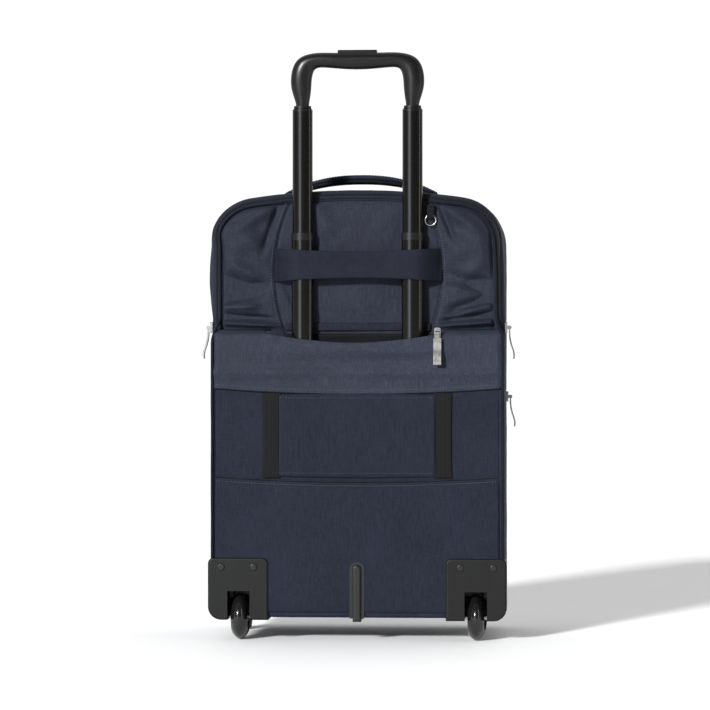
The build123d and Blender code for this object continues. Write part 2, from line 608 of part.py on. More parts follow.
# ---------------------------------------------------------------- the set of pieces
def pieces():
    """Every node's name and solid."""
    made = {
        "back_board": back_board(),
        "case_gusset": case_gusset(),
        "base_tray": base_tray(),
        "case_lining": case_lining(),
        "lower_rear_gusset": lower_rear_gusset(),
        "lower_back_panel": lower_back_panel(),
        "rear_pocket_band": rear_pocket_band(),
        "upper_back_panel": upper_back_panel(),
        "sleeve_panel": sleeve_panel(),
        "sleeve_elastics": sleeve_elastics(),
        "rear_piping": rear_piping(),
        "rear_zip_chain": rear_zip_chain(),
        "rear_pocket_zip": rear_pocket_zip(),
        "tube_strap": tube_strap(),
        "carry_handle": carry_handle(),
        "lid_hinge_strip": lid_hinge_strip(),
        "main_zip_case_half": main_zip_half(SPLIT_Y - TAPE_WIDTH, SPLIT_Y),
        "frame_wire_case": frame_wire(SPLIT_Y - 6),
        "corner_guards": Compound(both_sides(corner_guard())),
        "fasteners": fasteners(),
        "wheel_axles": Compound(both_sides(wheel_axle())),
        "wheel_tyre_right": wheel_tyre(),
        "wheel_tyre_left": mirror(wheel_tyre(), about=Plane.YZ),
        "wheel_hub_right": wheel_hub(),
        "wheel_hub_left": mirror(wheel_hub(), about=Plane.YZ),
        "centre_skid": centre_skid(),
        "front_feet": front_feet(),
        "lid_gusset": lid_gusset(),
        "lid_front_panel": lid_front_panel(),
        "front_pocket": front_pocket(),
        "lid_piping": lid_piping(),
        "front_zip_chain": front_zip_chain(),
        "main_zip_lid_half": main_zip_half(SPLIT_Y + SPLIT_GAP, SPLIT_Y + SPLIT_GAP + TAPE_WIDTH),
        "frame_wire_lid": frame_wire(SPLIT_Y + SPLIT_GAP + 6),
        "outer_tubes": Compound(both_sides(tube(OUTER_TUBE, *OUTER_Z))),
        "outer_collars": Compound(both_sides(outer_collar())),
        "tube_brackets": tube_brackets(),
        "middle_tubes": Compound(both_sides(tube(MIDDLE_TUBE, *MIDDLE_Z))),
        "middle_collars": Compound(both_sides(middle_collar())),
        "middle_lock_blocks": Compound(both_sides(lock_block(MIDDLE_TUBE, MIDDLE_Z[0], 0.1))),
        "inner_tubes": Compound(both_sides(tube(INNER_TUBE, *INNER_Z))),
        "inner_lock_blocks": Compound(both_sides(lock_block(INNER_TUBE, INNER_Z[0], 0.1))),
        "trolley_grip": trolley_grip(),
        "grip_button": grip_button(),
        "release_linkage": release_linkage(),
        "rod_springs": rod_springs(),
        "d_ring": d_ring(),
        "d_ring_loop": d_ring_loop(),
    }
    for name, (place, droop) in placements().items():
        pin = Pos(EYE_HEIGHT, 0, 0)
        made["slider_" + name] = place * slider()
        made["pull_tab_" + name] = place * pin * Rot(0, droop, 0) * pull_tab()
    return made


os.makedirs("parts", exist_ok=True)
for node, solid in pieces().items():
    export_step(solid, f"parts/{node}.step")
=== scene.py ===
"""Looks of the softside cabin suitcase, in metres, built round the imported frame."""
import math

import bmesh
import bpy
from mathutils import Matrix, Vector, noise


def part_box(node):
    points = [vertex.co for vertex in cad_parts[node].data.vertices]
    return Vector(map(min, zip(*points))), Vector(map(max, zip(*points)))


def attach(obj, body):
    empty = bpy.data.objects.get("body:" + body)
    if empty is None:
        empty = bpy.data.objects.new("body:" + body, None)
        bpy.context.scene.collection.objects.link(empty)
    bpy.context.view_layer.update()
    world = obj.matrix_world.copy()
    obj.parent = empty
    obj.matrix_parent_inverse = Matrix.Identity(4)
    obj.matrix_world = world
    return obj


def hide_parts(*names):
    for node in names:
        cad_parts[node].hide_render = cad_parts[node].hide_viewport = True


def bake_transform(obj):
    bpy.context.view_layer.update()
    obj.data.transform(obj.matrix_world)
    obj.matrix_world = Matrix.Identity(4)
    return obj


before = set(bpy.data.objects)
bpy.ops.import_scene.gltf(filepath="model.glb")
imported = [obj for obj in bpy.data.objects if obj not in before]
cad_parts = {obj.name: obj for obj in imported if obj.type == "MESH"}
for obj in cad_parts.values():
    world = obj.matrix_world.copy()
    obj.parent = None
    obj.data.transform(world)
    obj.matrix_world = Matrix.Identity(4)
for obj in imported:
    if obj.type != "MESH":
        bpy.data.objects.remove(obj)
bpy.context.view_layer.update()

# ---- sizes, from the frame
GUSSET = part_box("case_gusset")
HALF = GUSSET[1].x
BOTTOM = GUSSET[0].z
TOP = GUSSET[1].z
SPLIT = GUSSET[1].y
DOME = 0.900
CORNER = 0.058
BASE = 0.020
DOME_Z = TOP - DOME
CORNER_X = HALF - CORNER
CORNER_Z = DOME_Z + math.sqrt((DOME - CORNER) ** 2 - CORNER_X**2)
CORNER_TURN = math.atan2(CORNER_Z - DOME_Z, CORNER_X)

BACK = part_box("back_board")[0].y
UPPER_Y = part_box("upper_back_panel")[0].y
LOWER_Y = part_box("lower_back_panel")[0].y
BAND_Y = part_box("rear_pocket_band")[0].y
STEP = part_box("lower_back_panel")[1].z
LID_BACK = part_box("lid_gusset")[0].y
LID_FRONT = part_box("lid_gusset")[1].y
PANEL_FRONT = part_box("lid_front_panel")[1].y
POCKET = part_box("front_pocket")
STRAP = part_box("tube_strap")
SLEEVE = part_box("sleeve_panel")
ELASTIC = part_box("sleeve_elastics")
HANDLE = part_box("carry_handle")
REAR_ZIP_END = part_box("rear_zip_chain")[0].z
FRONT_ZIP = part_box("front_zip_chain")
FRONT_ZIP_Y = (FRONT_ZIP[0].y + FRONT_ZIP[1].y) / 2
REAR_ZIP_Y = -0.0834
PIPING_Y = -0.0862
MIDDLE_Z = 0.285
HANDLE_Y = (HANDLE[0].y + HANDLE[1].y) / 2
HANDLE_HALF = (HANDLE[1].y - HANDLE[0].y) / 2 * 0.96
TAPE = 0.004
WALL_PAD = 0.0040
LID_PAD = 0.0036
PANEL_PAD = 0.0022
SIDES = ((-1, "l"), (1, "r"))
STITCH, STITCH_GAP, STITCH_THICK = 0.0020, 0.0015, 0.0005
STITCH_LIFT = 0.0002
GUARD_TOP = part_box("corner_guards")[1].z
RIM_STEP = 0.004
WELL = (0.1255, 0.1610, -0.0515, 0.0640)
HOUSING = (0.1100, 0.2, -0.0850, GUARD_TOP - 0.0020)


# ---- small tools
def ease(low, high, x):
    """Smooth step from 0 at low to 1 at high."""
    s = min(max((x - low) / (high - low), 0.0), 1.0)
    return s * s * (3 - 2 * s)


def mix(a, b, w):
    return a + (b - a) * w


def bell(off, width):
    """Smooth bump: 1 at its middle, nearly 0 two widths off."""
    return math.exp(-((off / width) ** 2))


def spread(a, b, count):
    """Evenly spaced values from a to b, both included."""
    return [mix(a, b, i / count) for i in range(count + 1)]


def ripple(p, size, seed=0.0):
    """Gentle noise, about -1 to 1, with features of that size."""
    return noise.noise(Vector((p[0] / size + seed, p[1] / size - seed, p[2] / size + 2 * seed)))


def ridge(x, z, start, end, width):
    """Height, 0 to 1, of a fold that runs from start to end and fades at both ends."""
    ax, az = start
    dx, dz = end[0] - ax, end[1] - az
    length = math.hypot(dx, dz)
    along = ((x - ax) * dx + (z - az) * dz) / length**2
    aside = ((x - ax) * dz - (z - az) * dx) / length
    fade = ease(-0.15, 0.25, along) * (1 - ease(0.75, 1.15, along))
    return fade * bell(aside, width)


def finish_mesh(name, bm, facing=None):
    """Object of a bmesh, smooth shaded, with its normals turned outwards."""
    if facing is None:
        bmesh.ops.recalc_face_normals(bm, faces=bm.faces)
    else:
        bm.normal_update()
        lean = sum(f.normal.dot(facing(f.calc_center_median())) * f.calc_area() for f in bm.faces)
        if lean < 0:
            bmesh.ops.reverse_faces(bm, faces=bm.faces)
    mesh = bpy.data.meshes.new(name)
    bm.to_mesh(mesh)
    bm.free()
    for poly in mesh.polygons:
        poly.use_smooth = True
    obj = bpy.data.objects.new(name, mesh)
    bpy.context.scene.collection.objects.link(obj)
    return obj


def surface(name, rows, ring=False, facing=None, joined=False, capped=False):
    """Quad surface through rows of points. ring closes each row, joined the set of rows."""
    bm = bmesh.new()
    made = [[bm.verts.new(p) for p in row] for row in rows]
    across = len(rows[0])
    for here, there in zip(made, made[1:] + made[:1] if joined else made[1:]):
        for k in range(across if ring else across - 1):
            n = (k + 1) % across
            bm.faces.new((here[k], here[n], there[n], there[k]))
    if capped:
        bm.faces.new(made[0])
        bm.faces.new(made[-1])
    return finish_mesh(name, bm, facing)


def grid(across, up, point):
    """Rows of points over a patch. point takes two shares from 0 to 1, across and up."""
    return [[point(i / across, j / up) for i in range(across + 1)] for j in range(up + 1)]


def bowed(half, share):
    """Place across a panel, with the rows set closer towards both sides."""
    return half * math.sin(math.pi / 2 * (2 * share - 1))


def thicken(obj, depth):
    """Gives an open sheet its thickness, inwards."""
    mod = obj.modifiers.new("thickness", "SOLIDIFY")
    mod.thickness = depth
    mod.offset = -1
    mod.use_even_offset = False
    return obj


def away(centre):
    """Facing rule: away from an upright axis line through the case."""
    return lambda p: Vector((p.x - centre[0], 0, p.z - centre[1]))


def towards(x, y, z):
    """Facing rule: one direction."""
    return lambda p: Vector((x, y, z))


REARWARD = towards(0, -1, 0)
FORWARD = towards(0, 1, 0)
UPWARD = towards(0, 0, 1)


def close_ends(obj):
    """Caps the open ends of a tube-like mesh."""
    bm = bmesh.new()
    bm.from_mesh(obj.data)
    bmesh.ops.holes_fill(bm, edges=bm.edges)
    bmesh.ops.recalc_face_normals(bm, faces=bm.faces)
    bm.to_mesh(obj.data)
    bm.free()


def sweep_tube(name, path, radius, sides=10, closed=False):
    """Round cord along a path, with frames carried along it."""
    count = len(path)
    rows = []
    side = None
    for i, p in enumerate(path):
        before = path[i - 1] if closed or i else path[0]
        after = path[(i + 1) % count] if closed or i + 1 < count else path[-1]
        along = (after - before).normalized()
        if side is None:
            side = along.orthogonal().normalized()
        side = (side - along * side.dot(along)).normalized()
        up = along.cross(side)
        turns = [2 * math.pi * k / sides for k in range(sides)]
        rows.append([p + side * (radius * math.cos(a)) + up * (radius * math.sin(a)) for a in turns])
    return surface(name, rows, ring=True, joined=closed, capped=not closed)


def resample(path, step):
    """Points along a polyline at even spacing."""
    out = [path[0].copy()]
    need = step
    for a, b in zip(path, path[1:]):
        length = (b - a).length
        while need <= length:
            out.append(a.lerp(b, need / length))
            need += step
        need -= length
    return out


def cut_away(obj, *blocks):
    """Takes away the faces that lie wholly in a block: |x| from and to, y limit, z limit."""
    bm = bmesh.new()
    bm.from_mesh(obj.data)
    gone = [
        f for f in bm.faces
        if any(all(x0 < abs(v.co.x) < x1 and v.co.y < y1 and v.co.z < z1 for v in f.verts)
               for x0, x1, y1, z1 in blocks)
    ]
    bmesh.ops.delete(bm, geom=gone, context="FACES")
    bm.to_mesh(obj.data)
    bm.free()


# ---- the case outline
def rim_points(step):
    """Points and outward normals round the case's outline, from the middle of its base, closed."""
    pts = []

    def line(a, b, n):
        count = max(2, round(math.dist(a, b) / step))
        for i in range(count):
            w = i / count
            pts.append((mix(a[0], b[0], w), mix(a[1], b[1], w), *n))

    def arc(cx, cz, r, a0, a1):
        count = max(6, round(abs(a1 - a0) * r / step))
        for i in range(count):
            a = mix(a0, a1, i / count)
            pts.append((cx + r * math.cos(a), cz + r * math.sin(a), math.cos(a), math.sin(a)))

    low = BOTTOM + BASE
    line((0, BOTTOM), (HALF - BASE, BOTTOM), (0, -1))
    arc(HALF - BASE, low, BASE, -math.pi / 2, 0)
    line((HALF, low), (HALF, CORNER_Z), (1, 0))
    arc(CORNER_X, CORNER_Z, CORNER, 0, CORNER_TURN)
    arc(0, DOME_Z, DOME, CORNER_TURN, math.pi - CORNER_TURN)
    arc(-CORNER_X, CORNER_Z, CORNER, math.pi - CORNER_TURN, math.pi)
    line((-HALF, CORNER_Z), (-HALF, low), (-1, 0))
    arc(-HALF + BASE, low, BASE, math.pi, 1.5 * math.pi)
    line((-HALF + BASE, BOTTOM), (0, BOTTOM), (0, -1))
    return pts


RIM = rim_points(RIM_STEP)


def rim_at(sample, inset, y):
    """A point of the rim, moved inwards by inset, in the plane y."""
    x, z, nx, nz = sample
    return Vector((x - inset * nx, y, z - inset * nz))


def over_top(low):
    """The part of the rim above a height, from the right end over the top to the left end."""
    return [s for s in RIM if s[1] > low]


def crown(x, inset):
    """Height of the outline's top at x."""
    x = min(abs(x), HALF - inset - 1e-6)
    if x < CORNER_X + (CORNER - inset) * math.cos(CORNER_TURN):
        return DOME_Z + math.sqrt((DOME - inset) ** 2 - x * x)
    return CORNER_Z + math.sqrt(max((CORNER - inset) ** 2 - (x - CORNER_X) ** 2, 0.0))


def sole(x, inset):
    """Height of the outline's base at x."""
    x = min(abs(x), HALF - inset - 1e-6)
    over = x - (HALF - BASE)
    if over <= 0:
        return BOTTOM + inset
    return BOTTOM + BASE - math.sqrt(max((BASE - inset) ** 2 - over * over, 0.0))


# ---- materials
class Shader:
    """A procedural material under construction."""

    def __init__(self, name, **fixed):
        self.mat = bpy.data.materials.new(name)
        self.mat.use_nodes = True
        self.tree = self.mat.node_tree
        self.bsdf = self.tree.nodes["Principled BSDF"]
        for key, value in fixed.items():
            self.bsdf.inputs[key.replace("_", " ")].default_value = value
        self.where = self.tree.nodes.new("ShaderNodeTexCoord").outputs["Object"]

    def link(self, a, b):
        self.tree.links.new(a, b)

    def scaled(self, scale):
        node = self.tree.nodes.new("ShaderNodeMapping")
        node.inputs["Scale"].default_value = scale
        self.link(self.where, node.inputs["Vector"])
        return node.outputs[0]

    def cloud(self, scale, detail=3.0, rough=0.55):
        """Noise, 0 to 1, with that many features per metre along each axis."""
        node = self.tree.nodes.new("ShaderNodeTexNoise")
        node.inputs["Scale"].default_value = 1.0
        node.inputs["Detail"].default_value = detail
        node.inputs["Roughness"].default_value = rough
        self.link(self.scaled(scale), node.inputs["Vector"])
        return node.outputs["Fac"]

    def bands(self, axis, pitch):
        """Round-topped ribs across an axis, with that pitch."""
        node = self.tree.nodes.new("ShaderNodeTexWave")
        node.bands_direction = axis
        node.inputs["Scale"].default_value = math.pi / (10 * pitch)
        self.link(self.where, node.inputs["Vector"])
        return node.outputs["Fac"]

    def math(self, kind, a, b):
        node = self.tree.nodes.new("ShaderNodeMath")
        node.operation = kind
        for socket, value in zip(node.inputs, (a, b)):
            if isinstance(value, (int, float)):
                socket.default_value = value
            else:
                self.link(value, socket)
        return node.outputs[0]

    def total(self, *terms):
        """Weighted sum of (weight, value) pairs."""
        out = 0.0
        for weight, value in terms:
            out = self.math("ADD", out, self.math("MULTIPLY", value, weight))
        return out

    def ramp(self, value, stops):
        node = self.tree.nodes.new("ShaderNodeValToRGB")
        ramp = node.color_ramp
        while len(ramp.elements) < len(stops):
            ramp.elements.new(0.5)
        for element, (place, colour) in zip(ramp.elements, stops):
            element.position = place
            element.color = (*colour, 1)
        self.link(value, node.inputs[0])
        return node.outputs[0]

    def colour(self, value, stops):
        self.link(self.ramp(value, stops), self.bsdf.inputs["Base Color"])

    def roughness(self, value, low, high):
        node = self.tree.nodes.new("ShaderNodeMapRange")
        node.inputs["To Min"].default_value = low
        node.inputs["To Max"].default_value = high
        self.link(value, node.inputs["Value"])
        self.link(node.outputs[0], self.bsdf.inputs["Roughness"])

    def bump(self, *layers):
        """Stacks (height, strength, distance) layers into the normal."""
        last = None
        for height, strength, distance in layers:
            node = self.tree.nodes.new("ShaderNodeBump")
            node.inputs["Strength"].default_value = strength
            node.inputs["Distance"].default_value = distance
            self.link(height, node.inputs["Height"])
            if last is not None:
                self.link(last, node.inputs["Normal"])
            last = node.outputs[0]
        self.link(last, self.bsdf.inputs["Normal"])


def shade(colour, factor):
    return tuple(c * factor for c in colour)


def woven(name, colour, slub=0.55, sheen=0.022):
    """Nylon cloth: a fine plain weave with vertical slub streaks and soft mottling."""
    pitch, depth = 0.0005, 0.00010
    s = Shader(name, Sheen_Weight=sheen, Sheen_Roughness=0.4, Specular_IOR_Level=0.06)
    s.bsdf.inputs["Sheen Tint"].default_value = (0.6, 0.72, 1, 1)
    slubs = s.cloud((800, 800, 75), detail=4, rough=0.6)
    picks = s.cloud((90, 90, 800), detail=3)
    broad = s.cloud((14, 14, 14), detail=3)
    weave = s.total((0.34, s.bands("X", pitch)), (0.33, s.bands("Y", pitch)),
                    (0.33, s.bands("Z", pitch)))
    tone = s.total((slub, slubs), (0.25, picks), (0.75 - slub, broad))
    s.colour(tone, [(0.36, shade(colour, 0.68)), (0.5, colour), (0.64, shade(colour, 1.4))])
    s.roughness(slubs, 0.56, 0.76)
    s.bump((weave, 0.35, depth), (slubs, 0.6, depth * 2.2), (picks, 0.3, depth))
    return s.mat


def ribbed(name, colour, pitch=0.0016, axis="X"):
    """Elastic or webbing, ribbed one way."""
    s = Shader(name, Sheen_Weight=0.03, Sheen_Roughness=0.5, Specular_IOR_Level=0.15)
    ribs = s.bands(axis, pitch)
    grain = s.cloud((900, 900, 900), detail=2)
    tone = s.total((0.6, ribs), (0.4, grain))
    s.colour(tone, [(0.2, shade(colour, 0.45)), (0.55, colour), (0.9, shade(colour, 1.6))])
    s.roughness(grain, 0.7, 0.9)
    s.bump((ribs, 0.8, 0.0004), (grain, 0.4, 0.0001))
    return s.mat


def moulded(name, colour, rough, grain_size=1400, spec=0.3):
    """Moulded plastic: fine spark-eroded grain and faint handling marks."""
    s = Shader(name, Specular_IOR_Level=spec)
    grain = s.cloud((grain_size,) * 3, detail=2)
    marks = s.cloud((60, 60, 25), detail=5, rough=0.7)
    s.colour(marks, [(0.3, shade(colour, 0.85)), (0.7, shade(colour, 1.15))])
    s.roughness(s.total((0.6, grain), (0.4, marks)), *rough)
    s.bump((grain, 0.5, 0.00005), (marks, 0.12, 0.0004))
    return s.mat


def metal(name, colour, rough=(0.18, 0.34), brushed=(300, 300, 40)):
    """Plain metal with fine brushing and light wear."""
    s = Shader(name, Metallic=1.0)
    brush = s.cloud(brushed, detail=4)
    wear = s.cloud((90, 90, 90), detail=3)
    s.colour(wear, [(0.25, shade(colour, 0.8)), (0.75, shade(colour, 1.08))])
    s.roughness(brush, *rough)
    s.bump((brush, 0.25, 0.00005))
    return s.mat


def lacquer(name, colour):
    """Gloss black tube: anodised, with a faint lengthways draw mark."""
    s = Shader(name, Specular_IOR_Level=0.42)
    drawn = s.cloud((500, 500, 6), detail=2)
    s.colour(drawn, [(0.3, shade(colour, 0.8)), (0.7, shade(colour, 1.25))])
    s.roughness(drawn, 0.14, 0.20)
    s.bump((drawn, 0.08, 0.00004))
    return s.mat


MATS = {
    "nylon": woven("nylon_navy", (0.0124, 0.0146, 0.0250)),
    # nylon_upper and nylon_lower are lit and shaded copies of one navy nylon: the upper back is lighter
    # and the lower back darker, as painted light and shade for light that falls off downwards.
    "nylon_upper": woven("nylon_navy_upper", (0.0172, 0.0190, 0.0290)),
    "nylon_lower": woven("nylon_navy_lower", (0.0108, 0.0126, 0.0212)),
    "band": woven("nylon_navy_band", (0.0222, 0.0252, 0.0375)),
    "strap": woven("strap_navy", (0.0094, 0.0108, 0.0175), slub=0.35),
    # Near-black cloth for the D-ring loop, the handle pad and the strap stitches, and also for dark
    # cords and sheets that are painted shade in seams and in the pocket mouth.
    "black_cloth_and_shade": woven("black_cloth_and_painted_shade", (0.0060, 0.0060, 0.0070), slub=0.3),
    "piping": woven("piping_dark", (0.0075, 0.0084, 0.0135), sheen=0.0),
    "tape": ribbed("zip_tape", (0.0060, 0.0060, 0.0080), pitch=0.0010, axis="Z"),
    "teeth": moulded("zip_teeth", (0.0060, 0.0060, 0.0075), rough=(0.6, 0.75)),
    "elastic": ribbed("elastic_black", (0.0056, 0.0056, 0.0062)),
    "thread": ribbed("thread_navy", (0.0950, 0.1050, 0.1400), pitch=0.0007),
    "lining": woven("lining_grey", (0.100, 0.105, 0.118), slub=0.3),
    "guard": moulded("guard_plastic", (0.0052, 0.0052, 0.0054), rough=(0.40, 0.54), spec=0.18),
    "skid": moulded("skid_plastic", (0.0085, 0.0085, 0.0090), rough=(0.34, 0.46)),
    "grip": moulded("grip_plastic", (0.0058, 0.0058, 0.0062), rough=(0.24, 0.36), spec=0.24),
    "collar": moulded("collar_plastic", (0.0075, 0.0072, 0.0070), rough=(0.20, 0.30)),
    "board": moulded("board_plastic", (0.010, 0.010, 0.011), rough=(0.5, 0.7), spec=0.15),
    "tube": lacquer("tube_black", (0.0030, 0.0027, 0.0024)),
    "tread": moulded("wheel_tread", (0.0070, 0.0070, 0.0075), rough=(0.10, 0.18),
                     grain_size=500, spec=0.5),
    "hub": moulded("wheel_hub", (0.020, 0.020, 0.021), rough=(0.3, 0.45)),
    "blacked": moulded("blacked_steel", (0.0110, 0.0110, 0.0115), rough=(0.26, 0.38)),
    "steel": metal("steel_plain", (0.56, 0.56, 0.57)),
    "nickel": metal("nickel_satin", (0.40, 0.39, 0.37), rough=(0.22, 0.36), brushed=(260, 260, 260)),
}


def dress(obj, look, body, *nodes):
    """Gives a new piece its material and its body, and hides the CAD nodes that it stands for."""
    obj.data.materials.append(MATS[look])
    if nodes:
        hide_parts(*nodes)
    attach(obj, body)
    return obj


def paint(look, *nodes):
    """Gives carried-over CAD nodes a material."""
    for node in nodes:
        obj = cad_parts[node]
        if not obj.material_slots:
            obj.data.materials.append(MATS[look])
        for held in obj.material_slots:
            held.link = "OBJECT"
            held.material = MATS[look]


# ---- zips and stitches
TOOTH_FACES = ((4, 5, 6, 7), (0, 1, 5, 4), (1, 2, 6, 5), (2, 3, 7, 6), (3, 0, 4, 7), (3, 2, 1, 0))


def teeth(name, path, outward, pitch=0.0022, wide=0.0030, tall=0.0011, body="case"):
    """Interlocked zip teeth along a path. outward gives the way that they face at a point."""
    bm = bmesh.new()
    spots = resample(path, pitch / 2)
    for i in range(1, len(spots) - 1):
        p = spots[i]
        along = (spots[i + 1] - spots[i - 1]).normalized()
        up = outward(p)
        up = (up - along * up.dot(along)).normalized()
        side = along.cross(up) * (1 if i % 2 else -1)
        core = p + side * (wide * 0.22)
        made = []
        for a, b, c in ((-0.5, -0.5, 0), (0.5, -0.5, 0), (0.5, 0.5, 0), (-0.5, 0.5, 0),
                        (-0.3, -0.38, 1), (0.3, -0.38, 1), (0.3, 0.38, 1), (-0.3, 0.38, 1)):
            spot = core + along * (a * pitch * 0.72) + side * (b * wide * 0.62) + up * (c * tall)
            made.append(bm.verts.new(spot))
        for face in TOOTH_FACES:
            bm.faces.new([made[k] for k in face])
    obj = finish_mesh(name, bm)
    for poly in obj.data.polygons:
        poly.use_smooth = False
    return dress(obj, "teeth", body)


def ribbon(name, path, outward, width, look, body, depth=0.0006, across=4, *nodes):
    """Flat tape along a path, lying square to outward."""
    rows = []
    for i, p in enumerate(path):
        before, after = path[max(i - 1, 0)], path[min(i + 1, len(path) - 1)]
        along = (after - before).normalized()
        up = outward(p)
        side = along.cross(up).normalized()
        rows.append([p + side * (width * (k / across - 0.5)) for k in range(across + 1)])
    obj = surface(name, rows, facing=outward)
    thicken(obj, depth)
    return dress(obj, look, body, *nodes)


def stitches(name, path, outward, body, look="thread"):
    """A run of thread stitches, each a small lens that lies on the cloth."""
    bm = bmesh.new()
    spots = resample(path, (STITCH + STITCH_GAP) / 2)
    for i in range(1, len(spots) - 1, 2):
        p = spots[i]
        along = (spots[i + 1] - spots[i - 1]).normalized()
        up = outward(p)
        up = (up - along * up.dot(along)).normalized()
        side = along.cross(up)
        ends = [bm.verts.new(p + along * (s * STITCH / 2) - up * 0.0001) for s in (-1, 1)]
        belt = [
            bm.verts.new(p + (side * math.cos(a) + up * math.sin(a)) * STITCH_THICK)
            for a in (0, math.pi / 2, math.pi, 1.5 * math.pi)
        ]
        for k in range(4):
            n = (k + 1) % 4
            bm.faces.new((ends[0], belt[n], belt[k]))
            bm.faces.new((ends[1], belt[k], belt[n]))
    return dress(finish_mesh(name, bm), look, body)


def seam(name, path, body, radius=0.0006):
    """Dark cord pressed into a seam: painted shade for the shadow inside the seam."""
    return dress(sweep_tube(name, path, radius, sides=6), "black_cloth_and_shade", body)


def radial(p):
    """Outward direction of the case's side walls at a point."""
    if p.z > CORNER_Z and abs(p.x) > CORNER_X + 0.002:
        return Vector((p.x - math.copysign(CORNER_X, p.x), 0, p.z - CORNER_Z)).normalized()
    if p.z > CORNER_Z:
        return Vector((p.x, 0, p.z - DOME_Z)).normalized()
    if p.z < BOTTOM + BASE and abs(p.x) > HALF - BASE:
        out = math.copysign(abs(p.x) - HALF + BASE, p.x)
        return Vector((out, 0, p.z - BOTTOM - BASE)).normalized()
    if p.z < BOTTOM + BASE:
        return Vector((0, 0, -1))
    return Vector((math.copysign(1, p.x), 0, 0))


# ---- case walls
# Depth and inset of the wall's rounded rear edge, above and below the step.
UPPER_EDGE = [
    (-0.0740, 0.0), (-0.0772, 0.0003), (-0.0795, 0.0011), (-0.0812, 0.0024), (-0.0818, 0.0040),
    (-0.0824, 0.0056), (-0.0838, 0.0070), (-0.0848, 0.0084), (-0.0850, 0.0135),
]
LOWER_EDGE = [
    (-0.0780, 0.0), (-0.0840, 0.0), (-0.0900, 0.0), (-0.0960, 0.0), (-0.1010, 0.0002),
    (-0.1045, 0.0006), (-0.1068, 0.0016), (-0.1080, 0.0030), (-0.1083, 0.0070),
]


def wall_swell(sample, y):
    """How far the padded side wall stands out or in at a point."""
    x, z, nx, nz = sample
    p = (x, y, z)
    middle = math.sin(math.pi * min(max((y + 0.080) / 0.136, 0), 1))
    swell = 0.0012 * middle + 0.0005 * ripple(p, 0.05) + 0.0003 * ripple(p, 0.018, 3.0)
    if nx < -0.5:
        calm = ease(-0.066, -0.048, y) * ease(0.045, 0.000, y)  # beside both zips
        swell += 0.0062 * bell(z - 0.440, 0.050) * calm
    if nz < -0.5:
        swell *= 0.2
    return swell


def case_walls():
    ys = [SPLIT - TAPE - 0.132 * i / 44 for i in range(44)]
    rows = []
    for y in ys:
        near_edge = 0.0006 * bell(y - ys[0], 0.003)
        rows.append([rim_at(s, near_edge - wall_swell(s, y), y) for s in RIM])
    for (uy, ui), (ly, li) in zip(UPPER_EDGE, LOWER_EDGE):
        row = []
        for s in RIM:
            w = ease(STEP - 0.016, STEP + 0.006, s[1])
            y, inset = mix(ly, uy, w), mix(li, ui, w)
            row.append(rim_at(s, inset - wall_swell(s, y) * 0.5, y))
        rows.append(row)
    shell = surface("case_walls", rows, ring=True, facing=away((0, 0.28)))
    cut_away(slump(shell), WELL, HOUSING)
    thicken(shell, WALL_PAD)
    dress(shell, "nylon", "case", "case_gusset", "lower_rear_gusset")


def seam_x(z):
    """Half width of the recessed middle of the upper back panel."""
    return 0.1012 - 2.6 * (z - 0.445) ** 2


def upper_back_y(x, z):
    """Depth of the upper back panel's face."""
    seam = seam_x(z)
    out = abs(x) - seam
    reach = HALF - 0.0135 - seam
    across = min(max(out / reach, 0), 1)
    puff = 0.0060 * math.sin(math.pi * across**0.8) ** 0.8 * (0.75 + 0.25 * ease(0.53, 0.50, z))
    groove = 0.0016 * bell(out, 0.0013)
    y = UPPER_Y + 0.0012 - puff + groove
    if out < 0:
        bulge = ease(0.372, 0.41, z) * ease(0.535, 0.50, z)
        y -= 0.0030 * math.cos(math.pi * x / (2 * seam)) ** 2 * bulge
    folds = (
        ((-0.172, 0.3835), (-0.098, 0.3800), 0.0030, 0.0036),
        ((-0.172, 0.3920), (-0.106, 0.3890), 0.0034, -0.0040),
        ((-0.170, 0.4150), (-0.116, 0.4230), 0.0080, -0.0046),
        ((-0.168, 0.4020), (-0.120, 0.4040), 0.0050, 0.0030),
        ((-0.160, 0.4600), (-0.116, 0.4300), 0.0090, 0.0026),
        ((0.172, 0.3845), (0.096, 0.3800), 0.0030, 0.0036),
        ((0.172, 0.3950), (0.102, 0.3850), 0.0036, -0.0038),
        ((0.170, 0.4160), (0.108, 0.3960), 0.0070, -0.0040),
        ((0.164, 0.4060), (0.124, 0.3960), 0.0045, 0.0026),
        ((0.160, 0.4620), (0.112, 0.4260), 0.0100, 0.0024),
        ((0.104, 0.5240), (0.152, 0.4920), 0.0080, 0.0030),
        ((-0.104, 0.5240), (-0.152, 0.4920), 0.0080, 0.0030),
        ((-0.092, 0.5360), (-0.116, 0.4700), 0.0040, -0.0026),
        ((0.096, 0.5360), (0.118, 0.4800), 0.0040, -0.0022),
        ((-0.060, 0.5400), (-0.030, 0.4900), 0.0100, 0.0016),
        ((-0.170, 0.4330), (-0.108, 0.4290), 0.0100, -0.0040),
        ((-0.166, 0.4700), (-0.120, 0.4900), 0.0160, 0.0030),
        ((0.108, 0.4700), (0.164, 0.4800), 0.0180, 0.0040),
        ((0.104, 0.4400), (0.168, 0.4250), 0.0090, -0.0050),
        ((-0.088, 0.4300), (-0.060, 0.3800), 0.0050, -0.0016),
    )
    for start, end, width, height in folds:
        y -= 2.6 * height * ridge(x, z, start, end, width)
    y -= 0.0022 * ripple((x, 0, z * 0.7), 0.045, 1.0) + 0.0006 * ripple((x, 0, z), 0.016, 7.0)
    return min(y, BACK - 0.0003)


def lay_on(face, spots, lift):
    """Points over a back face at those (x, z) spots, out from it by lift."""
    return [Vector((x, face(x, z) - lift, z)) for x, z in spots]


